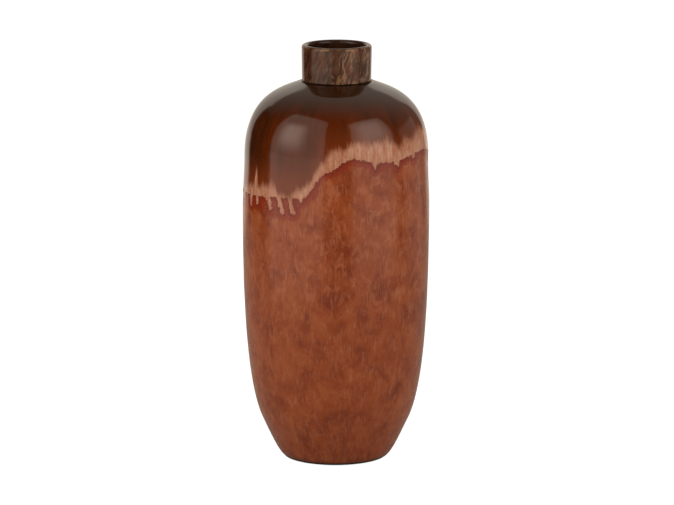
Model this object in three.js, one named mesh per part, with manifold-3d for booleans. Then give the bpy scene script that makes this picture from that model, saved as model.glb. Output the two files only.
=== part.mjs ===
// A tall stoneware vase with a small foot, a wide high belly, a domed shoulder and a short straight collar.
// The clay is a floor disc, a lower and an upper wall section joined at the belly, and a collar set on the
// shoulder. A rust coat covers the wall, a dark overglaze runs down over it from the shoulder, and the
// collar and the inside have glazes of their own.
// Millimetres, +Z up. The origin is the centre of the plane that the foot stands on, and -Y is the front.

import * as THREE from "three";
import { mergeVertices } from "three/addons/utils/BufferGeometryUtils.js";
import Module from "manifold-3d";

// Overall sizes
const totalHeight = 460;
const bellyRadius = 102.8;
const footRadius = 53.7;
const collarRadius = 38.1; // at its base, over the glaze
const collarHeight = 40.8;

// Outline of the body, from the foot up
const heelFlare = 27.6; // how far the heel stands out past the foot
const heelHeight = 44.1;
const heelLean = 0.433; // radians that the wall leans out from upright at the heel
const heelHandles = [7.3, 33.1]; // how far the foot's rounding keeps its direction at each end
const lowerFullness = [0.178, 0.431]; // the same for the lower wall, as shares of its height
const upperWallHeight = 57.5; // from the widest point to the start of the shoulder's dome
const shoulderInset = 1.9; // how much narrower the dome starts than the belly
const domeHeight = 82.7;
const domeLean = 0.4; // radians that the dome's top rises above level
const domeFullness = [0.83, 0.26]; // as shares of the dome's height
const grooveWidth = 2.6; // open groove between the dome's top and the collar

// Clay
const wall = 7.5; // from the rust coat's outside to the inside of the clay
const footRingWidth = 9.3;
const footRecess = 4; // height of the floor disc's underside
const floorThickness = 7;
const floorRadius = 52;
const bellyTongue = [3.2, 5]; // thickness and height of the lower section's tongue in the belly joint
const collarWall = 4.6;
const collarFlare = 0.5; // how much wider the collar is at the lip
const spigot = [2.3, 4.6]; // thickness and depth of the collar's spigot in the shoulder's mouth

// Glazes
const coat = 0.5; // thickness of every glaze
const gap = 0.3; // slip line or parting line between two pieces that touch
const lipGlazeDepth = 12; // how far the collar's glaze runs down inside the lip
const dripDrop = 98; // from the collar's seat down to the dark glaze's lower edge, on average
const dripSwing = 26; // the edge hangs this much lower on one side and higher on the other
const dripWave = 5; // height of the waves along it
const dripWaves = 6;
const dripTurn = 0.14; // radians from the front to where the edge crosses its mean height

// Facets
const turnSteps = 36;
const heelSteps = 4;
const lowerSteps = 7;
const upperSteps = 2;
const domeSteps = 7;
const lipSteps = 4;

const seatHeight = totalHeight - collarHeight; // where the body's outline meets the collar
const shoulderHeight = seatHeight - domeHeight;
const bellyHeight = shoulderHeight - upperWallHeight;
const floorTop = footRecess + floorThickness;
const dripHeight = seatHeight - dripDrop;
const skin = coat + gap; // depth of the clay under its glaze

const wasm = await Module();
wasm.setup();

const point = (radius, height) => new THREE.Vector2(radius, height);

// A curve from one point to another that leaves along one direction and arrives along the other.
function bend(start, leave, end, arrive) {
  return new THREE.CubicBezierCurve(start, start.clone().add(leave), end.clone().sub(arrive), end);
}

const heading = (lean, length) => point(length * Math.sin(lean), length * Math.cos(lean));

// The body's outline over the rust coat: foot rounding, lower wall, upper wall and dome.
const footEdge = point(footRadius, 0);
const heel = point(footRadius + heelFlare, heelHeight);
const belly = point(bellyRadius, bellyHeight);
const shoulder = point(bellyRadius - shoulderInset, shoulderHeight);
const seatEdge = point(collarRadius + grooveWidth, seatHeight);

function footRounding() {
  const [leave, arrive] = heelHandles;
  return bend(footEdge, point(leave, 0), heel, heading(heelLean, arrive)).getPoints(heelSteps);
}

function lowerWall() {
  const height = bellyHeight - heelHeight;
  const [leave, arrive] = lowerFullness.map((share) => share * height);
  return bend(heel, heading(heelLean, leave), belly, point(0, arrive)).getPoints(lowerSteps);
}

function upperWall() {
  const third = upperWallHeight / 3;
  return bend(belly, point(0, third), shoulder, point(0, third)).getPoints(upperSteps);
}

function dome() {
  const [leave, arrive] = domeFullness.map((share) => share * domeHeight);
  const inward = heading(domeLean - Math.PI / 2, arrive);
  return bend(shoulder, point(0, leave), seatEdge, inward).getPoints(domeSteps);
}

// Points joined end to end, each shared end written once.
const joined = (first, second) => [...first, ...second.slice(1)];
const roundingOutline = footRounding();
const lowerOutline = lowerWall();
const insideOutline = joined(roundingOutline.slice(heelSteps / 2), lowerOutline); // above the floor
const upperOutline = joined(upperWall(), dome());

// The same path moved sideways: towards the vase's inside for a path that climbs its wall.
function parallel(path, distance) {
  const normals = path.slice(1).map((end, i) => {
    const step = end.clone().sub(path[i]).normalize();
    return point(-step.y, step.x);
  });
  return path.map((corner, i) => {
    const before = normals[Math.max(i - 1, 0)];
    const after = normals[Math.min(i, normals.length - 1)];
    const mitre = before.clone().add(after).divideScalar(1 + before.dot(after));
    return corner.clone().addScaledVector(mitre, distance);
  });
}

// The path with its first point moved along its first stretch.
function startedLater(path, distance) {
  const step = path[1].clone().sub(path[0]).setLength(distance);
  return [path[0].clone().add(step), ...path.slice(1)];
}

// The closed section between two depths under a path.
function band(path, outerDepth, innerDepth) {
  return [...parallel(path, outerDepth), ...parallel(path, innerDepth).reverse()];
}

// A section turned round the axis. A section that doesn't touch the axis is closed on itself.
function turned(section) {
  const onAxis = section[0].x === 0;
  const profile = onAxis ? section : [...section, section[0]];
  return new THREE.LatheGeometry(profile, turnSteps);
}

function solidOf(geometry) {
  const bare = geometry.clone();
  bare.deleteAttribute("normal");
  bare.deleteAttribute("uv");
  const merged = mergeVertices(bare);
  const vertProperties = merged.attributes.position.array;
  const triVerts = new Uint32Array(merged.index.array);
  return new wasm.Manifold(new wasm.Mesh({ numProp: 3, vertProperties, triVerts }));
}

function geometryOf(solid) {
  const mesh = solid.getMesh();
  const geometry = new THREE.BufferGeometry();
  geometry.setAttribute("position", new THREE.BufferAttribute(mesh.vertProperties, 3));
  geometry.setIndex(new THREE.BufferAttribute(mesh.triVerts, 1));
  geometry.computeVertexNormals();
  return geometry;
}

// The floor disc, let down into the rebate above the foot ring.
function floorDisc() {
  return turned([
    point(0, footRecess),
    point(floorRadius, footRecess),
    point(floorRadius, floorTop),
    point(0, floorTop),
  ]);
}

// The lower section: foot ring, bare rounding, glazed wall, and the tongue of the belly joint.
const rebateRadius = floorRadius + gap;
const insideBelly = bellyRadius - wall;
const tongueRadius = insideBelly + bellyTongue[0];
const tongueTop = bellyHeight + bellyTongue[1];

function lowerBody() {
  const bareFoot = roundingOutline.slice(0, 2);
  const glazed = parallel(joined(roundingOutline.slice(1), lowerOutline), skin);
  const inside = parallel(insideOutline, wall);
  return turned([
    ...bareFoot,
    ...glazed,
    point(tongueRadius, bellyHeight),
    point(tongueRadius, tongueTop),
    point(insideBelly, tongueTop),
    ...inside.reverse(),
    point(rebateRadius, floorTop),
    point(rebateRadius, footRecess - gap),
    point(footRadius - footRingWidth, footRecess - gap),
    point(footRadius - footRingWidth, 0),
  ]);
}

// The upper section: it sits over the tongue, and its mouth takes the collar's spigot.
const collarInside = collarRadius - skin - collarWall;
const spigotRadius = collarInside + spigot[0];
const mouthRadius = spigotRadius + gap;
const upperClay = parallel(upperOutline, skin);
const landHeight = upperClay.at(-1).y;
const mouthFloor = landHeight + gap - spigot[1];

function upperBody() {
  const inside = parallel(upperOutline, wall).slice(1);
  return turned([
    ...startedLater(upperClay, gap),
    point(mouthRadius, landHeight),
    point(mouthRadius, mouthFloor),
    ...inside.reverse(),
    point(insideBelly, tongueTop + gap),
    point(tongueRadius + gap, tongueTop + gap),
    point(tongueRadius + gap, bellyHeight + gap),
  ]);
}

// A rounded lip between two radii, from the outside over to the inside.
function lip(outer, inner, top) {
  const half = (outer - inner) / 2;
  const arc = new THREE.EllipseCurve(inner + half, top - half, half, half, 0, Math.PI);
  return arc.getPoints(lipSteps);
}

function neckCollar() {
  const outside = collarRadius - skin;
  return turned([
    point(collarInside, mouthFloor),
    point(spigotRadius, mouthFloor),
    point(spigotRadius, landHeight + gap),
    point(outside, landHeight + gap),
    ...lip(outside + collarFlare, collarInside, totalHeight - skin),
  ]);
}

// The rust coat, from just above the bare foot to the groove round the collar.
function rustGlaze() {
  const outline = joined(joined(roundingOutline.slice(1), lowerOutline), upperOutline);
  return turned(band(startedLater(outline, gap), 0, coat));
}

// Height of the dark glaze's lower edge in a direction, counted from the front towards +X.
function dripEdge(azimuth) {
  const swing = dripSwing * Math.sin(azimuth + dripTurn);
  return dripHeight + swing + dripWave * Math.cos(dripWaves * azimuth);
}

// A ring past the wall on both sides, whose top follows the dark glaze's lower edge.
function dripCutter() {
  const reach = 3 * wall;
  const bottom = bellyHeight - reach;
  const section = [
    point(bellyRadius - reach, bottom),
    point(bellyRadius + reach, bottom),
    point(bellyRadius + reach, dripHeight),
    point(bellyRadius - reach, dripHeight),
  ];
  const ring = turned(section);
  const corner = ring.attributes.position;
  for (let i = 0; i < corner.count; i++) {
    const azimuth = Math.atan2(corner.getX(i), corner.getZ(i));
    if (corner.getY(i) > bellyHeight) corner.setY(i, dripEdge(azimuth));
  }
  return ring;
}

function darkGlaze() {
  const overcoat = turned(band(upperOutline, -skin, -gap));
  return geometryOf(solidOf(overcoat).subtract(solidOf(dripCutter())));
}

// The collar's glaze: down its outside, over the lip and a little way down inside.
const lipGlazeEnd = totalHeight - lipGlazeDepth;

function collarGlaze() {
  const lipRadius = collarRadius + collarFlare;
  const inside = collarInside - skin;
  return turned([
    point(collarRadius, seatHeight + gap),
    ...lip(lipRadius, inside, totalHeight),
    point(inside, lipGlazeEnd + gap),
    point(inside + coat, lipGlazeEnd + gap),
    ...lip(lipRadius - coat, inside + coat, totalHeight - coat).reverse(),
    point(collarRadius - coat, seatHeight + gap),
  ]);
}

// The liner: over the floor, up the wall and through the mouth to meet the collar's glaze.
function linerGlaze() {
  const inside = [
    point(0, floorTop),
    point(rebateRadius, floorTop),
    ...parallel(insideOutline, wall),
    ...parallel(upperOutline, wall).slice(1),
    point(mouthRadius, mouthFloor),
    point(collarInside, mouthFloor),
    point(collarInside, lipGlazeEnd),
  ];
  return turned(band(inside, gap, skin));
}

const clay = { color: 0xb9a088, roughness: 0.9, metalness: 0 };
const pieces = [
  ["base_disc", floorDisc(), clay],
  ["lower_body", lowerBody(), clay],
  ["upper_body", upperBody(), clay],
  ["neck_collar", neckCollar(), clay],
  ["rust_glaze", rustGlaze(), { color: 0x86482c, roughness: 0.42, metalness: 0 }],
  ["dark_glaze", darkGlaze(), { color: 0x3f2114, roughness: 0.16, metalness: 0 }],
  ["collar_glaze", collarGlaze(), { color: 0x6a4a36, roughness: 0.2, metalness: 0 }],
  ["liner_glaze", linerGlaze(), { color: 0x2a1710, roughness: 0.25, metalness: 0 }],
];

const vase = new THREE.Group();
vase.rotation.x = Math.PI / 2; // the turning axis is stood upright
for (const [name, geometry, look] of pieces) {
  const mesh = new THREE.Mesh(geometry, new THREE.MeshStandardMaterial(look));
  mesh.name = name;
  vase.add(mesh);
}

const model = new THREE.Group();
model.add(vase);

export default model;
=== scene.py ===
import math
import random

import bpy
import numpy as np
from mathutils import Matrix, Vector


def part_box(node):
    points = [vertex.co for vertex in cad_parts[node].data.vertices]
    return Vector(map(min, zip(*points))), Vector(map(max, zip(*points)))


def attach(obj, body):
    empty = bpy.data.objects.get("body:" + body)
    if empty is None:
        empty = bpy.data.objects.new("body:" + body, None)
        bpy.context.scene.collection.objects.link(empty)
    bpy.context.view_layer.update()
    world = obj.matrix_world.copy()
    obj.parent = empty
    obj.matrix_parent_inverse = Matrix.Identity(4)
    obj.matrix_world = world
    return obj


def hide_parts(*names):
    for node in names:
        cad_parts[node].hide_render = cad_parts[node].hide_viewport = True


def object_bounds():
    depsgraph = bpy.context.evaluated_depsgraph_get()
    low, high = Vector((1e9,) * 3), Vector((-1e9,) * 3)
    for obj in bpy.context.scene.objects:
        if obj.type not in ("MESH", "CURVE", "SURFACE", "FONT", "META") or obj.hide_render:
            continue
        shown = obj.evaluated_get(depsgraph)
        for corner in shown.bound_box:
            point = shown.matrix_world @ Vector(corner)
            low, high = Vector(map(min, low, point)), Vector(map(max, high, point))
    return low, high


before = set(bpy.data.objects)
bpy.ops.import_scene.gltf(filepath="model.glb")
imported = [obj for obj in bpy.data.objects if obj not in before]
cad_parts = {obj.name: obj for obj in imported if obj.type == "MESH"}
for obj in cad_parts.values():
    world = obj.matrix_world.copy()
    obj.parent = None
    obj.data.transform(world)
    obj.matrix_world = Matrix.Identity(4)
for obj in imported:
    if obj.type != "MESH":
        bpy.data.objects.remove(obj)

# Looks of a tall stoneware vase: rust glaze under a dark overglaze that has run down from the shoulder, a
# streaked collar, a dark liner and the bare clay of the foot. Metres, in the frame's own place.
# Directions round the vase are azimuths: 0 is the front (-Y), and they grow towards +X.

MM = 0.001
cad_low, cad_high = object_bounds()

# Sizes read from the frame
rust_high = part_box("rust_glaze")[1]
lower_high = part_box("lower_body")[1]
collar_low, collar_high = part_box("collar_glaze")
liner_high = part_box("liner_glaze")[1]
clay_collar_low, clay_collar_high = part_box("neck_collar")
disc_low, disc_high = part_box("base_disc")
total_height = cad_high.z
belly_radius = rust_high.x
seat_height = rust_high.z
lip_radius = collar_high.x
skin = rust_high.x - lower_high.x  # depth of the clay under its glaze

# Outline of the body, the same as the frame's, from the foot up
foot_radius = 53.7 * MM
heel_flare = 27.6 * MM  # how far the heel stands out past the foot
heel_height = 44.1 * MM
heel_lean = 0.433  # radians that the wall leans out from upright at the heel
heel_handles = (7.3 * MM, 33.1 * MM)  # how far the foot's rounding keeps its direction at each end
lower_fullness = (0.178, 0.431)  # the same for the lower wall, as shares of its height
upper_wall_height = 57.5 * MM
shoulder_inset = 1.9 * MM  # how much narrower the dome starts than the belly
dome_height = 82.7 * MM
dome_lean = 0.4  # radians that the dome's top rises above level
dome_fullness = (0.83, 0.26)  # as shares of the dome's height
collar_radius = 38.1 * MM
groove_width = 2.6 * MM  # open groove between the dome's top and the collar

# Clay and glazes, the same as the frame's
wall = 7.5 * MM
coat = 0.5 * MM
gap = 0.3 * MM  # between two pieces that touch
foot_ring_width = 9.3 * MM
tongue_width = 3.2 * MM  # the lower section's tongue in the belly joint
tongue_height = 5 * MM
spigot_radius = 35 * MM  # the collar's spigot in the shoulder's mouth
collar_wall = 4.6 * MM
collar_flare = 0.5 * MM  # how much wider the collar is at the lip
lip_width = 6.8 * MM  # over the glaze

heel = np.array([foot_radius + heel_flare, heel_height])
shoulder = np.array([belly_radius - shoulder_inset, seat_height - dome_height])
belly = np.array([belly_radius, shoulder[1] - upper_wall_height])
seat_edge = np.array([collar_radius + groove_width, seat_height])
belly_joint = lower_high.z - tongue_height  # height at which the two sections meet outside
mouth_radius = lip_radius - lip_width

# Points of the meshes round the axis, and along the profiles
COLUMNS_BODY = 540
COLUMNS_DARK = 960
COLUMNS_COLLAR = 288
COLUMNS_HIDDEN = 144
COLLAR_STEP = 0.9 * MM
LINER_STEP = 4 * MM
CLAY_STEP = 3 * MM
CLAY_STRIDE = 10  # the hidden clay takes only some of the outline's points


# ---------------------------------------------------------------- outlines

def bend(start, leave, end, arrive, count=160):
    """Points on a cubic curve that leaves start along one direction and arrives at end along the other."""
    t = np.linspace(0, 1, count)[:, None]
    start, end = np.asarray(start), np.asarray(end)
    near, far = start + leave, end - np.asarray(arrive)
    return (1 - t) ** 3 * start + 3 * (1 - t) ** 2 * t * near + 3 * (1 - t) * t * t * far + t**3 * end


def heading(lean, length):
    """A step of that length, leaning outwards from upright."""
    return np.array([math.sin(lean), math.cos(lean)]) * length


def joined(*paths):
    """Paths end to end, each shared end kept once."""
    return np.concatenate([paths[0]] + [path[1:] for path in paths[1:]])


class Path:
    """A path in the (radius, height) plane that can be asked by its length."""

    def __init__(self, points):
        steps = np.linalg.norm(np.diff(points, axis=0), axis=1)
        self.at = np.concatenate([[0], np.cumsum(steps)])
        self.points = points
        self.length = self.at[-1]
        along = np.gradient(points, self.at, axis=0)
        along /= np.linalg.norm(along, axis=1)[:, None]
        self.normals = np.stack([along[:, 1], -along[:, 0]], axis=1)

    def radius(self, s):
        return np.interp(s, self.at, self.points[:, 0])

    def height(self, s):
        return np.interp(s, self.at, self.points[:, 1])

    def normal(self, s):
        """Outward normal's radial and upright parts."""
        across = np.interp(s, self.at, self.normals[:, 0])
        up = np.interp(s, self.at, self.normals[:, 1])
        return across, up

    def where(self, height):
        """Length along the path at a height. Only for paths that climb all the way."""
        return np.interp(height, self.points[:, 1], self.at)

    def moved_in(self, depth):
        """The path's points, moved inwards along its normals."""
        return self.points - self.normals * depth


def body_outline():
    """Foot rounding, lower wall, upper wall and dome."""
    flat, steep = heel_handles
    rounding = bend([foot_radius, 0], [flat, 0], heel, heading(heel_lean, steep), 400)
    leave, arrive = np.array(lower_fullness) * (belly[1] - heel[1])
    lower = bend(heel, heading(heel_lean, leave), belly, [0, arrive], 400)
    third = (shoulder[1] - belly[1]) / 3
    upper = bend(belly, [0, third], shoulder, [0, third])
    leave, arrive = np.array(dome_fullness) * (seat_edge[1] - shoulder[1])
    dome = bend(shoulder, [0, leave], seat_edge, heading(dome_lean - math.pi / 2, arrive), 400)
    return Path(joined(rounding, lower, upper, dome))


outline = body_outline()


# ---------------------------------------------------------------- the running edge

# The dark glaze's lower edge without its runs, and the middle of its pale fringe's fade into the dark:
# azimuth in degrees, then millimetres below the collar's seat. Both close on themselves round the back.
EDGE = [
    (-90, 119), (-60, 118), (-41, 115), (-24, 114), (-19, 113), (-13, 99), (-10, 89), (-3, 83), (7, 71),
    (12, 70), (18, 73), (28, 76), (42, 76), (50, 73), (70, 69), (90, 78), (112, 92), (135, 86), (158, 99),
    (182, 108), (205, 101), (228, 113), (250, 107), (270, 119),
]
FADE = [
    (-90, 114), (-72, 111), (-61.5, 107), (-60, 88), (-58.5, 85), (-57, 107), (-50, 103), (-40, 103),
    (-37, 110), (-33, 112), (-28, 111), (-24, 104), (-16, 95), (-11, 79), (-7, 68), (0, 60), (12, 54),
    (24, 52), (33, 53), (42, 60), (50, 55), (63, 49), (76, 48), (90, 56), (112, 68), (135, 60), (158, 78),
    (182, 94), (205, 80), (228, 98), (250, 85), (270, 112),
]
# Runs in front: azimuth of the tip, its drop below the seat, degrees that it has swerved on its way down,
# and half the run's width in millimetres at its neck and at its tip.
RUNS = [
    (-76, 128, 1.0, 2.4, 2.2), (-65, 130, 0.5, 1.7, 1.6), (-57, 127, 0.5, 1.5, 1.3),
    (-44.0, 130, 3.6, 2.6, 2.7), (-34.6, 133, 3.5, 2.7, 2.2), (-27.3, 132, 2.0, 2.3, 2.9),
    (-22, 118, 0.8, 2.4, 2.0), (25, 83, 0.5, 4.0, 1.6), (41, 82, 1.3, 5.0, 2.6),
    (56.8, 76.5, 1.0, 3.0, 1.5), (84, 88, 1.0, 2.6, 2.0),
]
BACK_STARTS = 98  # azimuths between which the runs come from a draw
BACK_ENDS = 275
RUN_ROOT = 2 * MM  # a run starts this far inside the edge
RIPPLES = 16  # waves in the edge's small unevenness
RIPPLE_HEIGHT = 0.30 * MM
FAR = 30 * MM  # the field round the edge is cut off at this distance


def height_between(azimuth, nodes):
    """Height on straight lines between nodes, in metres."""
    angles, drops = np.array(nodes, float).T
    turned = (np.degrees(azimuth) - angles[0]) % 360 + angles[0]
    return seat_height - np.interp(turned, angles, drops) * MM


def back_runs():
    """Runs of the same kind for the back, at uneven distances."""
    dice = random.Random(7)
    runs = []
    azimuth = BACK_STARTS
    while azimuth < BACK_ENDS:
        line = (seat_height - height_between(math.radians(azimuth), EDGE)) / MM
        width = dice.uniform(1.4, 3.0)
        runs.append((azimuth, line + dice.uniform(3, 19), dice.uniform(-1, 3), width, width * 0.9))
        azimuth += dice.uniform(4, 14)
    return runs


def jitter(azimuth, s, seed):
    """A field of small uneven waves over the wall, in metres, that closes on itself round the back."""
    dice = random.Random(seed)
    total = np.zeros(np.broadcast(azimuth, s).shape)
    for _ in range(RIPPLES):
        waves = dice.randint(30, 260)
        along = dice.uniform(-1, 1) * waves / belly_radius
        turn = dice.uniform(0, 2 * math.pi)
        total += RIPPLE_HEIGHT * math.sqrt(60 / waves) * np.sin(waves * azimuth + along * s + turn)
    return total


def merged(first, second, softness=1.0 * MM):
    """The larger of two fields, rounded where they meet."""
    overlap = np.clip(softness - np.abs(first - second), 0, None)
    return np.maximum(first, second) + overlap**2 / (4 * softness)


def inside_edge(azimuth, s):
    """How far a place on the wall is inside the running edge, in metres. Negative below it."""
    azimuth = azimuth + jitter(azimuth, s, 1) / belly_radius
    s = s + jitter(azimuth, s, 2)
    line = outline.where(height_between(azimuth, EDGE))
    step = 0.01
    slope = (outline.where(height_between(azimuth + step, EDGE)) - line) / (step * belly_radius)
    field = (s - line) / np.sqrt(1 + slope**2)
    for tip, drop, swerve, neck_width, tip_width in RUNS + back_runs():
        neck = math.radians(tip - swerve)
        neck_s = outline.where(height_between(neck, EDGE)) + RUN_ROOT
        tip_s = outline.where(seat_height - (drop - tip_width) * MM)
        across = ((azimuth - neck + math.pi) % (2 * math.pi) - math.pi) * belly_radius
        to_tip = np.array([math.radians(swerve) * belly_radius, tip_s - neck_s])
        share = np.clip((across * to_tip[0] + (s - neck_s) * to_tip[1]) / (to_tip @ to_tip), 0, 1)
        away = np.hypot(across - share * to_tip[0], s - neck_s - share * to_tip[1])
        width = (neck_width + (tip_width - neck_width) * share) * MM
        field = merged(field, width - away)
    return np.clip(field, -FAR, FAR)


# ---------------------------------------------------------------- meshes

DARK_THICKNESS = 0.26 * MM
DARK_ROUNDING = 1.1 * MM  # how far in from its edge the dark glaze reaches that thickness
BEAD_HEIGHT = 0.12 * MM
BEAD_PLACE = 1.9 * MM
BEAD_SPREAD = 1.5 * MM
TUCKED = 0.8 * MM  # the dark glaze's mesh goes on this far past its edge, under the rust glaze

# Rows of the dark glaze's mesh: millimetres up the wall from EDGE, and then down into the groove at the
# collar, given as millimetres in and up from the dome's top edge
DARK_ROWS = np.arange(-21, 5, 0.75)
GROOVE = [(0.7, 0.2), (1.3, 0.05), (1.8, -0.2), (2.2, -0.55), (2.5, -1.05), (4.2, -1.35)]
GROOVE_STEP = 0.7 * MM

# Rounded bottom edge of the collar's glaze: millimetres in from the collar's side and up from its base
COLLAR_FOOT = [(1.5, -2.2), (1.2, -0.3), (0.9, 0), (0.5, 0.1), (0.2, 0.5), (0.1, 1.1), (0.05, 2.0)]
COLLAR_SLANT = 0.25  # how far the collar's streaks step aside for each step up


def sway(height):
    """How far the hand-made form leans towards +X at a height: -0.7 mm at the foot, 0.9 mm at the lip."""
    return (1.6 * height / total_height - 0.7) * MM


def uneven_wall(azimuth, height):
    """Slight waves of the thrown wall, in metres along its normal: two slow ones and faint rings."""
    slow = 0.22 * np.sin(2 * azimuth + 0.8) + 0.16 * np.sin(3 * azimuth + 17 * height + 2.1)
    rings = 0.05 * np.sin(height / (7.3 * MM)) * np.sin(azimuth + height / (61 * MM))
    return (slow + rings) * MM


def placed(azimuth, radius, height):
    """Points of a grid in the frame."""
    x = radius * np.sin(azimuth) + sway(height)
    y = -radius * np.cos(azimuth)
    return np.stack([x, y, height + 0 * azimuth], axis=-1)


def grid_mesh(name, points, values, closed=False, kept=None):
    """A mesh of quads from rows of points round the axis. values holds per-point attributes.
    Where kept is given, quads with no kept corner are left out."""
    rows, columns = points.shape[:2]
    index = np.arange(rows * columns).reshape(rows, columns)
    below = index if closed else index[:-1]
    above = np.roll(index, -1, axis=0) if closed else index[1:]
    faces = np.stack([below, np.roll(below, -1, axis=1), np.roll(above, -1, axis=1), above], axis=-1)
    faces, points = faces.reshape(-1, 4), points.reshape(-1, 3)
    values = {key: value.reshape(len(points), -1) for key, value in values.items()}
    if kept is not None:
        faces = faces[kept.ravel()[faces].any(axis=1)]
        used, faces = np.unique(faces, return_inverse=True)
        faces, points = faces.reshape(-1, 4), points[used]
        values = {key: value[used] for key, value in values.items()}
    mesh = bpy.data.meshes.new(name)
    mesh.from_pydata(points, [], faces.tolist())
    for key, value in values.items():
        kind, field = ("FLOAT_VECTOR", "vector") if value.shape[1] == 3 else ("FLOAT", "value")
        mesh.attributes.new(key, kind, "POINT").data.foreach_set(field, value.astype(np.float32).ravel())
    mesh.shade_smooth()
    mesh.update()
    piece = bpy.data.objects.new(name, mesh)
    bpy.context.scene.collection.objects.link(piece)
    return piece


def directions(columns):
    """Azimuths evenly round the axis, as one row."""
    return np.linspace(0, 2 * math.pi, columns, endpoint=False)[None, :]


def unrolled(azimuth, s, radius=belly_radius):
    """Where a point lies on the wall, as a vector without a seam: round the axis, and length up the wall."""
    shape = np.broadcast(azimuth, s).shape
    around = np.stack([np.sin(azimuth) + 0 * s, -np.cos(azimuth) + 0 * s], axis=-1) * radius
    return np.concatenate([around, np.broadcast_to(s, shape)[..., None]], axis=-1)


def on_wall(azimuth, s, lift):
    """Points on the body's outline, lifted along its normal."""
    across, up = outline.normal(s)
    lift = lift + uneven_wall(azimuth, outline.height(s))
    return placed(azimuth, outline.radius(s) + across * lift, outline.height(s) + up * lift)


def rust_coat():
    """The rust glaze, from just above the foot's resting plane to well under the dark glaze. Its rows lie
    closer where the running edge is, and closest at the foot, where the coat rolls in to its end."""
    heights = (0.9, 270, 358, 364)  # millimetres: its start, the closer rows from and to, its end
    start, fine_start, fine_end, end = (outline.where(height * MM) for height in heights)
    rows = np.concatenate([
        start + np.array([0.0, 0.15, 0.4, 0.8, 1.4]) * MM,
        np.linspace(start + 2.5 * MM, fine_start, 88),
        np.linspace(fine_start, fine_end, 84)[1:],
        [end],
    ])[:, None]
    azimuth = directions(COLUMNS_BODY)
    s = rows + 0 * azimuth
    roll = np.interp(rows - start, np.array([0, 0.15, 0.4, 0.8]) * MM, np.array([-0.5, -0.2, -0.05, 0]) * MM)
    values = {"unrolled": unrolled(azimuth, s), "edge": inside_edge(azimuth, s)}
    return grid_mesh("rust_coat", on_wall(azimuth, s, roll), values)


def dark_thickness(inside):
    """The dark glaze's rounded edge and the bead it gathers in along it. Below its edge it goes under."""
    near = np.clip(inside / DARK_ROUNDING, 0, 1)
    rounded = np.sqrt(1 - (1 - near) ** 2)
    bead = np.exp(-(((inside - BEAD_PLACE) / BEAD_SPREAD) ** 2)) * (inside > 0)
    under = np.clip(inside, -TUCKED, 0)
    return DARK_THICKNESS * rounded + BEAD_HEIGHT * bead + 0.6 * under


def dark_coat():
    """The dark overglaze, from its running edge up over the dome and down into the groove at the collar."""
    azimuth = directions(COLUMNS_DARK)
    line = outline.where(height_between(azimuth, EDGE))
    near = DARK_ROWS[:, None] * MM
    share = np.linspace(0, 1, 46)[1:, None] ** 1.3
    start = line + near[-1]
    top = outline.length
    s = np.concatenate([line + near, start + (top - start) * share])
    edge = inside_edge(azimuth, s)
    points = on_wall(azimuth, s, dark_thickness(edge))
    groove = [
        placed(azimuth, seat_edge[0] - inward * MM + 0 * azimuth, seat_height + up * MM)
        for inward, up in GROOVE
    ]
    points = np.concatenate([points] + groove)
    extra = np.arange(1, len(groove) + 1)[:, None] * GROOVE_STEP + 0 * azimuth
    fade = outline.height(s) - height_between(azimuth, FADE)
    climb = outline.height(s) - height_between(azimuth, EDGE)
    s = np.concatenate([s, top + extra])
    edge = np.concatenate([edge, np.full(extra.shape, FAR)])
    fade, climb = (np.concatenate([part, part[-1:] + extra]) for part in (fade, climb))
    values = {"unrolled": unrolled(azimuth, s), "edge": edge, "fade": fade, "climb": climb}
    return grid_mesh("dark_coat", points, values, kept=edge > -TUCKED)


def lip_arc(outer, inner, top, count=18):
    """A rounded lip from the outside over to the inside."""
    half = (outer - inner) / 2
    turn = np.linspace(0, math.pi, count)
    return np.stack([inner + half + half * np.cos(turn), top - half + half * np.sin(turn)], axis=1)


def even_path(points, step):
    """Points along a path at even steps: their lengths along it, and their radii and heights."""
    path = Path(np.asarray(points))
    s = np.linspace(0, path.length, max(2, round(path.length / step) + 1))
    return s, np.stack([path.radius(s), path.height(s)], axis=1)


def collar_coat():
    """The collar's glaze: a rounded bottom edge, the outside, the lip and a little way down inside."""
    base = collar_low.z + 0.7 * MM
    rounding = np.array([(collar_radius - inward * MM, base + up * MM) for inward, up in COLLAR_FOOT])
    over = lip_arc(lip_radius, mouth_radius, total_height)
    inside = [over[-1], (mouth_radius, liner_high.z + 0.3 * MM), (mouth_radius + 0.5 * MM, liner_high.z)]
    s, profile = even_path(joined(rounding, over, np.array(inside)), COLLAR_STEP)
    azimuth = directions(COLUMNS_COLLAR)
    s = s[:, None] + 0 * azimuth
    radius = profile[:, :1] + 0.12 * MM * np.sin(2 * azimuth + 1.0)
    height = profile[:, 1:] + 0 * azimuth
    crest = s[np.argmax(profile[:, 1]), 0]
    values = {
        "unrolled": unrolled(azimuth - COLLAR_SLANT * s / collar_radius, s, collar_radius),
        "past_crest": s - crest,
        "above_base": height - base,
    }
    return grid_mesh("collar_coat", placed(azimuth, radius, height), values)


def turned(name, profile, step, inwards=False, closed=False):
    """A plain piece: a profile turned round the axis. A closed profile comes with its first point
    repeated at its end."""
    s, path = even_path(profile, step)
    if closed:
        path, s = path[:-1], s[:-1]
    azimuth = directions(COLUMNS_HIDDEN)
    points = placed(azimuth, path[:, :1] + 0 * azimuth, path[:, 1:] + 0 * azimuth)
    if inwards:
        points = points[:, ::-1]
    values = {"unrolled": unrolled(azimuth, s[:, None] + 0 * azimuth)}
    return grid_mesh(name, points, values, closed=closed)


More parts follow.
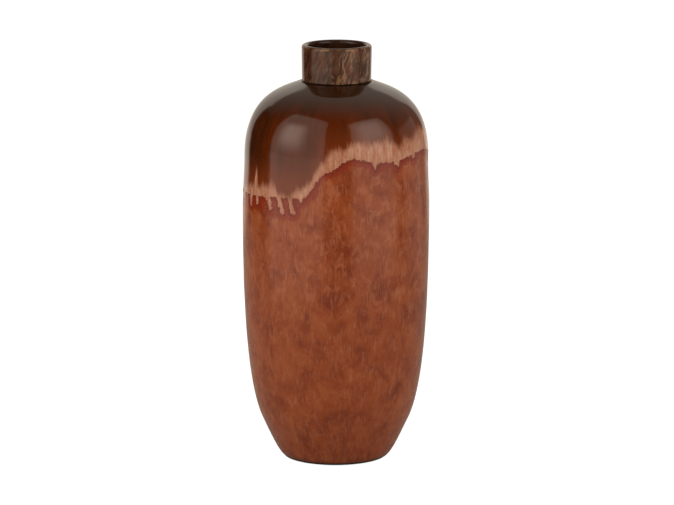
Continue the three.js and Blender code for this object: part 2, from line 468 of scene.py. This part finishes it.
def liner_coat():
    """The liner: floor, inside of the wall, mouth and collar."""
    throat = 33 * MM  # the dome's inside is followed up to this radius
    inner_wall = outline.moved_in(wall + skin)
    climbing = inner_wall[(outline.points[:, 1] > heel_height) & (inner_wall[:, 0] > throat)]
    floor_top = disc_high.z + gap + coat
    flat = 44 * MM
    profile = [(0.4 * MM, floor_top), (flat, floor_top), (flat + 10 * MM, floor_top + 4 * MM)]
    profile += [tuple(point) for point in climbing[::6]]
    profile.append((mouth_radius + 0.3 * MM, climbing[-1][1] + 2 * MM))
    profile.append((mouth_radius + 0.1 * MM, liner_high.z + 1 * MM))
    return turned("liner_coat", profile, LINER_STEP, inwards=True)


def closed_clay(name, profile):
    """A clay section: a closed profile turned round the axis."""
    piece = turned(name, [*profile, profile[0]], CLAY_STEP, closed=True)
    piece.data.set_sharp_from_angle(angle=math.radians(40))
    return piece


def stretch(depth, low=-math.inf, high=math.inf, stride=CLAY_STRIDE):
    """Some of the outline's points between two heights, moved inwards. A negative stride takes them from
    the top down."""
    height = outline.points[:, 1]
    points = outline.moved_in(depth)[(height > low) & (height < high)]
    return [tuple(point) for point in points[::stride]]


def lower_clay():
    """The lower section with its foot ring, its rounding and the tongue of the belly joint."""
    tongue = belly_radius - wall + tongue_width
    tongue_top = belly_joint + tongue_height
    rebate = disc_high.x + gap
    rebate_floor = disc_low.z - gap
    ring_inside = foot_radius - foot_ring_width
    chamfer = 1.2 * MM
    bare = 1.5 * MM  # up to this height the clay has the outline itself, and from twice it lies under glaze
    profile = stretch(0, high=bare, stride=12)
    profile += stretch(skin, 2 * bare, belly_joint)
    profile += [(belly_radius - skin, belly_joint), (tongue, belly_joint), (tongue, tongue_top)]
    profile += [(belly_radius - wall, tongue_top)]
    profile += stretch(wall, heel_height, belly_joint, -CLAY_STRIDE)
    profile += [(rebate, disc_high.z), (rebate, rebate_floor), (ring_inside, rebate_floor)]
    profile += [(ring_inside, chamfer), (ring_inside + chamfer, 0)]
    return closed_clay("lower_clay", profile)


def upper_clay():
    """The upper section: it sits over the tongue, and its mouth takes the collar's spigot."""
    base = belly_joint + gap
    tongue = belly_radius - wall + tongue_width + gap
    tongue_top = base + tongue_height
    mouth = spigot_radius + gap
    land = outline.moved_in(skin)[-1][1]
    profile = [(belly_radius - skin, base)]
    profile += stretch(skin, low=base + 1 * MM)
    profile += [(mouth, land), (mouth, clay_collar_low.z)]
    profile += stretch(wall, low=base + 8 * MM, stride=-CLAY_STRIDE)
    profile += [(belly_radius - wall, tongue_top), (tongue, tongue_top), (tongue, base)]
    return closed_clay("upper_clay", profile)


def collar_clay():
    """The collar's clay, set back behind the groove, with the spigot that stands in the shoulder's mouth."""
    inner = clay_collar_high.x - collar_wall - collar_flare
    base = clay_collar_low.z
    seat = seat_height - 0.4 * MM
    neck = collar_radius - 2.4 * MM
    hidden = 0.1 * MM  # it stays this far under its glaze at the lip
    profile = [(inner, base), (spigot_radius, base), (spigot_radius, seat), (neck, seat)]
    profile += [(neck, seat + 3 * MM), (collar_radius - 1.2 * MM, seat + 5 * MM)]
    profile += [tuple(p) for p in lip_arc(clay_collar_high.x - hidden, inner, clay_collar_high.z - hidden)]
    return closed_clay("collar_clay", profile)


def floor_clay():
    """The floor disc, slightly dished above the foot ring."""
    radius = disc_high.x
    low = disc_low.z
    dish = 0.8 * MM
    centre = 0.3 * MM  # the mesh stops just short of the axis
    profile = [(centre, low + dish), (radius * 0.5, low + dish * 0.7), (radius, low)]
    profile += [(radius, disc_high.z), (centre, disc_high.z)]
    return closed_clay("floor_clay", profile)


# ---------------------------------------------------------------- materials

class Nodes:
    """Short calls that add nodes to a tree. Values can be numbers or other nodes' outputs."""

    def __init__(self, tree):
        self.tree = tree

    def node(self, kind, inputs=(), **settings):
        made = self.tree.nodes.new(kind)
        for key, value in settings.items():
            setattr(made, key, value)
        for key, value in dict(inputs).items():
            self.put(made.inputs[key], value)
        return made

    def put(self, socket, value):
        if isinstance(value, bpy.types.NodeSocket):
            self.tree.links.new(value, socket)
        else:
            socket.default_value = value

    def math(self, operation, *values):
        return self.node("ShaderNodeMath", enumerate(values), operation=operation).outputs[0]

    def sum(self, first, second, share=1.0):
        """first plus share times second."""
        return self.math("MULTIPLY_ADD", second, share, first)

    def product(self, first, second):
        return self.math("MULTIPLY", first, second)

    def away(self, value, middle):
        """How far value is from middle, on either side."""
        return self.math("ABSOLUTE", self.math("SUBTRACT", value, middle))

    def span(self, value, low, high, to_low=0.0, to_high=1.0, curve="SMOOTHSTEP"):
        """value taken from one range to another, and held at its ends."""
        inputs = {"Value": value, "From Min": low, "From Max": high, "To Min": to_low, "To Max": to_high}
        return self.node("ShaderNodeMapRange", inputs, interpolation_type=curve).outputs["Result"]

    def blend(self, share, first, second):
        inputs = {"Factor": share, 6: colour(first), 7: colour(second)}
        return self.node("ShaderNodeMix", inputs, data_type="RGBA").outputs[2]

    def ramp(self, value, *stops):
        """A colour for each place along value, given as (place, colour)."""
        made = self.node("ShaderNodeValToRGB", {"Fac": value})
        band = made.color_ramp
        while len(band.elements) < len(stops):
            band.elements.new(1.0)
        for element, (at, shade) in zip(band.elements, stops):
            element.position = at
            element.color = colour(shade)
        return made.outputs["Color"]


class Look(Nodes):
    """A material with one Principled surface."""

    def __init__(self, name, **fixed):
        self.material = bpy.data.materials.new(name)
        self.material.use_nodes = True
        super().__init__(self.material.node_tree)
        self.surface = self.tree.nodes["Principled BSDF"]
        for socket, value in fixed.items():
            self.feed(socket.replace("_", " "), value)

    def feed(self, socket, value):
        self.put(self.surface.inputs[socket], value)

    def number(self, name):
        """A value that the mesh holds for each point."""
        return self.node("ShaderNodeAttribute", attribute_name=name).outputs["Fac"]

    def place(self):
        """The unrolled place on the wall."""
        return self.node("ShaderNodeAttribute", attribute_name="unrolled").outputs["Vector"]

    def part(self, axis):
        """One part of the unrolled place in metres. Z is the length up the wall."""
        return self.node("ShaderNodeSeparateXYZ", {0: self.place()}).outputs[axis]

    def noise(self, size, detail=3.0, rough=0.55, stretch=1.0, warp=0.0):
        """Noise whose features are about size across, in metres. stretch over 1 draws them out along the
        wall's height."""
        shrink = {0: self.place(), 1: (1, 1, 1 / stretch)}
        place = self.node("ShaderNodeVectorMath", shrink, operation="MULTIPLY").outputs["Vector"]
        inputs = {
            "Vector": place, "Scale": 1 / size, "Detail": detail, "Roughness": rough, "Distortion": warp,
        }
        return self.node("ShaderNodeTexNoise", inputs).outputs["Fac"]

    def swing(self, size, **kind):
        """Noise about zero."""
        return self.sum(-0.5, self.noise(size, **kind))

    def spots(self, low, high, size, **kind):
        """0 where noise is under low and 1 where it is over high."""
        return self.span(self.noise(size, **kind), low, high)

    def lines(self, width, size, **kind):
        """Thin winding lines: 1 where noise is at its middle, fading to 0 at width on both sides."""
        return self.span(self.away(self.noise(size, **kind), 0.5), width, width * 0.25)

    def tint(self, shade, mask, strength, tone):
        """shade turned towards tone by strength where mask is 1."""
        return self.blend(self.product(mask, strength), shade, tone)

    def relief(self, height, depth, under=None):
        """Bump of that depth in metres, over another bump if there is one."""
        inputs = {"Height": height, "Distance": depth, "Strength": 1.0}
        if under is not None:
            inputs["Normal"] = under
        return self.node("ShaderNodeBump", inputs).outputs["Normal"]

    def complete(self, shade, wear, smoothest, roughest, normal):
        """The material, with that colour and bump, and a roughness that follows wear, a noise."""
        self.feed("Base Color", shade)
        self.feed("Roughness", self.span(wear, 0.3, 0.7, smoothest, roughest))
        self.feed("Normal", normal)
        return self.material


def colour(value):
    """A colour socket as it is, or red, green and blue with alpha added."""
    return value if isinstance(value, bpy.types.NodeSocket) else (*value, 1.0)


RUST_DEEP = (0.200, 0.027, 0.003)
RUST_MIDDLE = (0.304, 0.056, 0.009)
RUST_BRIGHT = (0.372, 0.088, 0.021)
RUST_CLOUD = (0.45, 0.148, 0.068)
RUST_HATCH = (0.48, 0.170, 0.082)
RUST_BLOT = (0.20, 0.026, 0.005)
PAINTED_CONTACT_SHADOW = (0.030, 0.006, 0.002)
STAIN = (0.245, 0.018, 0.003)
MAROON = (0.165, 0.012, 0.003)


def rust_look():
    """Mottled rust glaze, paler higher up and blotted lower down, with a painted contact shadow at the
    foot's resting line, and stained maroon under the dark glaze's edge."""
    look = Look("rust_glaze_satin", IOR=1.52)
    mottles = look.noise(24 * MM, detail=8, rough=0.68, stretch=1.15, warp=0.5)
    shade = look.ramp(mottles, (0.35, RUST_DEEP), (0.50, RUST_MIDDLE), (0.65, RUST_BRIGHT))
    high_wall = look.span(look.part("Z"), 0.15, 0.25)
    clouds = look.spots(0.50, 0.66, 11 * MM, detail=6, rough=0.65, stretch=1.5, warp=0.8)
    shade = look.tint(shade, clouds, look.sum(0.28, high_wall, 0.3), RUST_CLOUD)
    hatch = look.spots(0.46, 0.68, 1.7 * MM, detail=2, stretch=7)
    hatch = look.product(hatch, look.spots(0.40, 0.58, 14 * MM))
    shade = look.tint(shade, hatch, 0.46, RUST_HATCH)
    low_wall = look.span(look.part("Z"), 0.22, 0.09)
    blots = look.spots(0.54, 0.68, 6 * MM, detail=6, rough=0.68, warp=0.9)
    shade = look.tint(shade, blots, look.sum(0.24, low_wall, 0.20), RUST_BLOT)
    # Painted contact shadow: the wall turns near black over its lowest 6 mm along the outline, fading out by
    # 10 mm
    shade = look.blend(look.span(look.part("Z"), 10 * MM, 6 * MM), shade, PAINTED_CONTACT_SHADOW)
    edge = look.sum(look.number("edge"), look.swing(3.5 * MM), 5 * MM)
    shade = look.tint(shade, look.span(edge, -8.8 * MM, -5.2 * MM), 0.72, STAIN)
    shade = look.tint(shade, look.span(edge, -3.6 * MM, -1.0 * MM), 0.7, MAROON)
    pits = look.relief(look.noise(3.5 * MM, detail=2), 0.04 * MM)
    normal = look.relief(look.noise(2.8 * MM, detail=1, stretch=7), 0.05 * MM, pits)
    return look.complete(shade, look.noise(12 * MM), 0.18, 0.28, normal)


DARK_BROWN = (0.044, 0.0115, 0.0026)
DARK_RED = (0.098, 0.0165, 0.0018)
DARK_VEIL = (0.038, 0.0120, 0.0036)
DARK_DOME = (0.034, 0.0120, 0.0040)
THIN_BROWN = (0.18, 0.036, 0.009)
FRINGE_DEEP = (0.43, 0.140, 0.070)
FRINGE_MIDDLE = (0.50, 0.240, 0.152)
FRINGE_BRIGHT = (0.62, 0.345, 0.235)
FRINGE_SPECK = (0.27, 0.080, 0.040)
FRINGE_RIM = (0.36, 0.085, 0.050)


def dark_look():
    """Glossy dark glaze: brown over the dome, redder below, thin above its edge, where it breaks through
    streaks into a pale fringe."""
    look = Look("dark_glaze_gloss", IOR=1.52)
    streaks = look.swing(2.4 * MM, rough=0.6, stretch=12)
    broad = look.swing(11 * MM, stretch=3)
    tones = look.noise(40 * MM, detail=5, rough=0.6, stretch=2.5)
    body = look.ramp(tones, (0.40, DARK_BROWN), (0.60, DARK_RED))
    veils = look.spots(0.50, 0.66, 5 * MM, detail=4, rough=0.6, stretch=9, warp=0.3)
    body = look.tint(body, veils, 0.5, DARK_VEIL)
    on_dome = look.span(look.part("Z"), outline.where(0.380), outline.where(0.412))
    body = look.blend(on_dome, body, DARK_DOME)
    thick = look.span(look.sum(look.number("climb"), broad, 18 * MM), 10 * MM, 52 * MM)
    body = look.blend(thick, THIN_BROWN, body)
    clouds = look.swing(5.5 * MM, detail=5, rough=0.65, stretch=2.5, warp=0.4)
    tones = look.sum(look.sum(0.5, streaks, 0.7), clouds, 0.9)
    fringe = look.ramp(tones, (0.30, FRINGE_DEEP), (0.52, FRINGE_MIDDLE), (0.72, FRINGE_BRIGHT))
    fringe = look.tint(fringe, look.spots(0.60, 0.70, 2.6 * MM, detail=2), 0.5, FRINGE_SPECK)
    level = look.sum(look.sum(look.number("fade"), streaks, 15 * MM), broad, 22 * MM)
    shade = look.blend(look.span(level, -7 * MM, 5 * MM), fringe, body)
    shade = look.tint(shade, look.span(look.number("edge"), 1.4 * MM, 0.0), 0.4, FRINGE_RIM)
    normal = look.relief(look.noise(14 * MM, detail=1), 0.08 * MM)
    return look.complete(shade, look.noise(6 * MM), 0.07, 0.13, normal)


COLLAR_DEEP = (0.042, 0.013, 0.005)
COLLAR_MIDDLE = (0.075, 0.028, 0.014)
COLLAR_BRIGHT = (0.120, 0.056, 0.032)
COLLAR_RUST = (0.15, 0.036, 0.013)
COLLAR_DARK = (0.024, 0.010, 0.005)
COLLAR_TAN = (0.29, 0.160, 0.084)
COLLAR_DROP = (0.24, 0.130, 0.068)
LIP_WORN = (0.33, 0.18, 0.10)
LIP_INSIDE = (0.026, 0.009, 0.004)
PAINTED_GROOVE_SHADE = (0.012, 0.006, 0.003)


def collar_look():
    """Streaked collar glaze, with more of its tan streaks on the right, worn on the lip's crest and dark
    inside it, and near black as painted shade where its base sits down in the groove."""
    look = Look("collar_glaze_streaked", IOR=1.43)
    tones = look.noise(8.5 * MM, detail=4, rough=0.6, stretch=2.6, warp=1.0)
    shade = look.ramp(tones, (0.36, COLLAR_DEEP), (0.50, COLLAR_MIDDLE), (0.64, COLLAR_BRIGHT))
    patches = look.spots(0.50, 0.64, 14 * MM, detail=2, stretch=1.6)
    shade = look.tint(shade, patches, 0.6, COLLAR_RUST)
    dark = look.spots(0.52, 0.62, 6 * MM, detail=2, stretch=3.2)
    shade = look.tint(shade, dark, 0.7, COLLAR_DARK)
    tan_side = look.span(look.part("X"), -20 * MM, 6 * MM, 0.15, 1.0)
    runs = look.lines(0.060, 9 * MM, detail=2, stretch=3.0, warp=0.6)
    runs = look.product(runs, look.spots(0.42, 0.58, 12 * MM, detail=2))
    shade = look.tint(shade, look.product(runs, tan_side), 0.75, COLLAR_TAN)
    drops = look.spots(0.58, 0.68, 5 * MM, detail=2, stretch=3.0, warp=0.4)
    shade = look.tint(shade, look.product(drops, tan_side), 0.6, COLLAR_DROP)
    crest = look.span(look.number("past_crest"), -5.2 * MM, -3.4 * MM)
    worn = look.product(crest, look.spots(0.40, 0.62, 14 * MM, detail=2))
    shade = look.tint(shade, worn, 0.7, LIP_WORN)
    inside = look.span(look.number("past_crest"), -2.6 * MM, -1.0 * MM)
    shade = look.tint(shade, inside, 0.92, LIP_INSIDE)
    # Painted shade: the glaze turns near black over its lowest 0.8 mm, down in the groove at the dome's top
    shade = look.blend(look.span(look.number("above_base"), 0.8 * MM, 0.2 * MM), shade, PAINTED_GROOVE_SHADE)
    normal = look.relief(look.noise(5 * MM, detail=2), 0.10 * MM)
    return look.complete(shade, look.noise(2.6 * MM, stretch=4), 0.10, 0.20, normal)


LINER_DARK = (0.016, 0.007, 0.004)
LINER_RED = (0.055, 0.014, 0.007)
CLAY_DARK = (0.20, 0.105, 0.062)
CLAY_PALE = (0.33, 0.20, 0.125)
GROG = (0.12, 0.06, 0.035)


def liner_look():
    """Dark glaze inside, with a reddish brown in it."""
    look = Look("liner_glaze_dark", IOR=1.5)
    tones = look.noise(20 * MM, detail=4, stretch=2)
    shade = look.ramp(tones, (0.35, LINER_DARK), (0.65, LINER_RED))
    normal = look.relief(look.noise(8 * MM, detail=2), 0.1 * MM)
    return look.complete(shade, look.noise(8 * MM), 0.14, 0.3, normal)


def clay_look():
    """Bare fired clay with dark specks of grog."""
    look = Look("bare_clay", IOR=1.45)
    tones = look.noise(4 * MM, detail=5, rough=0.7)
    shade = look.ramp(tones, (0.3, CLAY_DARK), (0.7, CLAY_PALE))
    grog = look.spots(0.62, 0.7, 1.4 * MM, detail=1)
    shade = look.tint(shade, grog, 0.6, GROG)
    normal = look.relief(look.noise(0.9 * MM, rough=0.7), 0.12 * MM)
    return look.complete(shade, look.noise(3 * MM, detail=2), 0.78, 0.95, normal)


# ---------------------------------------------------------------- putting the pieces together

def finished(piece, material, slot, *stands_for):
    """Give a piece its material, hang it on the root body and hide the solids that it stands for. slot is
    not used.
    """
    piece.data.materials.append(material)
    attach(piece, "root")
    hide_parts(*stands_for)


clay = clay_look()
finished(floor_clay(), clay, "clay", "base_disc")
finished(lower_clay(), clay, "clay", "lower_body")
finished(upper_clay(), clay, "clay", "upper_body")
finished(collar_clay(), clay, "clay", "neck_collar")
finished(rust_coat(), rust_look(), "rust_glaze", "rust_glaze")
finished(dark_coat(), dark_look(), "dark_glaze", "dark_glaze")
finished(collar_coat(), collar_look(), "collar_glaze", "collar_glaze")
finished(liner_coat(), liner_look(), "liner_glaze", "liner_glaze")


# ---------------------------------------------------------------- studio

LAMP_COLOUR = (1, 0.89, 0.77)
ROOM_COLOUR = (1, 0.88, 0.77)
WHITE = (1, 1, 1)
PAPER_LIT = (0.56, 0.54, 0.51)
PAPER_SEEN = (0.30, 0.30, 0.30)
PAPER_GLOW = 0.96
FELT = (0.01, 0.01, 0.01)
FLOOR_REACH = 14.0


def softbox(name, azimuth, distance, width, height, level, glow=0.0, centre=(0.5, 0.5), reach=(0.2, 0.2)):
    """A soft light standing on the floor and facing the vase. Its radiance is level over the whole of it,
    fading at its sides and top, and glow more round centre, a spot given like reach in shares of its
    size."""
    light = bpy.data.lights.new(name, "AREA")
    light.shape = "RECTANGLE"
    light.size = width
    light.size_y = height
    light.energy = math.pi * width * height  # so that its radiance is its emission's strength
    light.color = LAMP_COLOUR
    light.use_nodes = True
    lamp = Nodes(light.node_tree)
    over_it = lamp.node("ShaderNodeNewGeometry").outputs["Parametric"]
    shares = lamp.node("ShaderNodeSeparateXYZ", {0: over_it}).outputs

    def spot(middle, extent, soft):
        """1 round middle, fading to 0 at extent over that soft share of it."""
        across, up = (
            lamp.span(lamp.away(shares[axis], middle[axis]), extent[axis], extent[axis] * (1 - soft))
            for axis in (0, 1)
        )
        return lamp.product(across, up)

    glowing = lamp.sum(level, spot(centre, reach, soft=0.8), glow)
    strength = lamp.product(glowing, spot(middle=(0.5, 0), extent=(0.5, 1), soft=0.1))
    lamp.put(light.node_tree.nodes["Emission"].inputs["Strength"], strength)

    turn = math.radians(azimuth)
    box = bpy.data.objects.new(name, light)
    box.location = (distance * math.sin(turn), -distance * math.cos(turn), height / 2)
    outwards = Vector((box.location.x, box.location.y, 0))
    box.rotation_euler = outwards.to_track_quat("Z", "Y").to_euler()
    box.visible_camera = False
    bpy.context.scene.collection.objects.link(box)


def world_light():
    """A dim room, lit from above and most of all from above behind the vase, a little to its right. Matt
    surfaces get an even fill besides, and the camera sees plain white."""
    world = bpy.data.worlds.new("room")
    world.use_nodes = True
    room = Nodes(world.node_tree)
    direction = room.node("ShaderNodeTexCoord").outputs["Generated"]
    brightest = (0.2, 0.6, 1)
    dim = 0.012
    ceiling = 0.5
    matt_fill = 0.25
    lean = room.node("ShaderNodeVectorMath", {0: direction, 1: brightest}, operation="DOT_PRODUCT")
    climb = room.span(lean.outputs["Value"], 0.45, 1.2, curve="LINEAR")
    strength = room.sum(dim, room.math("POWER", climb, 1.5), ceiling)
    ray = room.node("ShaderNodeLightPath").outputs
    strength = room.sum(strength, ray["Is Diffuse Ray"], matt_fill)
    strength = room.sum(strength, ray["Is Camera Ray"])
    background = world.node_tree.nodes["Background"].inputs
    room.put(background["Color"], room.blend(ray["Is Camera Ray"], ROOM_COLOUR, WHITE))
    room.put(background["Strength"], strength)
    bpy.context.scene.world = world


def studio_sheet(name, corners, paint):
    """A flat four-cornered sheet that belongs to the studio."""
    mesh = bpy.data.meshes.new(name)
    mesh.from_pydata(corners, [], [(0, 1, 2, 3)])
    mesh.materials.append(paint)
    sheet = bpy.data.objects.new(name, mesh)
    bpy.context.scene.collection.objects.link(sheet)
    return sheet


def studio_floor():
    """A plain pale floor, large enough to reach past the picture. The camera sees it nearly white. To the
    light that falls on it and to the vase's gloss it is a mid grey."""
    paper = Look("floor_paper", Roughness=0.9, Specular_IOR_Level=0.0, Emission_Color=colour(WHITE))
    seen = paper.node("ShaderNodeLightPath").outputs["Is Camera Ray"]
    paper.feed("Base Color", paper.blend(seen, PAPER_LIT, PAPER_SEEN))
    paper.feed("Emission Strength", paper.product(seen, PAPER_GLOW))
    signs = ((-1, -1), (1, -1), (1, 1), (-1, 1))
    corners = [(x * FLOOR_REACH, y * FLOOR_REACH, 0) for x, y in signs]
    floor = studio_sheet("floor", corners, paper.material)


def dark_card(azimuth, distance, width, low, high):
    """A black card that keeps the lit floor out of the gloss on one side of the vase. Only reflections
    show it."""
    felt = Look("black_felt", Base_Color=colour(FELT), Specular_IOR_Level=0.0)
    turn = math.radians(azimuth)
    across = Vector((math.cos(turn), math.sin(turn))) * width / 2
    foot = Vector((math.sin(turn), -math.cos(turn))) * distance
    signs = ((-1, low), (1, low), (1, high), (-1, high))
    corners = [(*(foot + across * side), height) for side, height in signs]
    card = studio_sheet("dark_card", corners, felt.material)
    card.visible_camera = False
    card.visible_diffuse = False
    card.visible_shadow = False


def camera():
    """A long lens far off, looking a little down on the vase."""
    lens = bpy.data.cameras.new("camera")
    lens.sensor_width = 36.0
    lens.lens = 221.6
    lens.clip_end = 100
    aim = Vector((0.0012, 0, 0.228))
    distance = 4.575
    elevation = math.radians(11.14)
    eye = bpy.data.objects.new("camera", lens)
    eye.location = aim + Vector((0, -math.cos(elevation), math.sin(elevation))) * distance
    eye.rotation_euler = (eye.location - aim).to_track_quat("Z", "Y").to_euler()
    bpy.context.scene.collection.objects.link(eye)
    bpy.context.scene.camera = eye


world_light()
studio_floor()
softbox(
    "left_softbox", azimuth=-51.5, distance=0.85, width=1.32, height=1.75, level=0.8,
    glow=1.9, centre=(0.39, 0.42), reach=(0.3, 0.24),
)
softbox(
    "right_softbox", azimuth=48, distance=0.95, width=1.1, height=1.6, level=0.75,
    glow=1.3, centre=(0.5, 0.6), reach=(0.5, 0.4),
)
softbox("backdrop", azimuth=184, distance=1.3, width=2.06, height=1.35, level=0.62)
softbox("right_fill", azimuth=108, distance=1.1, width=0.8, height=0.8, level=0.3)
dark_card(azimuth=-112, distance=0.9, width=0.70, low=0.11, high=0.8)
camera()
bpy.context.scene.view_settings.view_transform = "Standard"
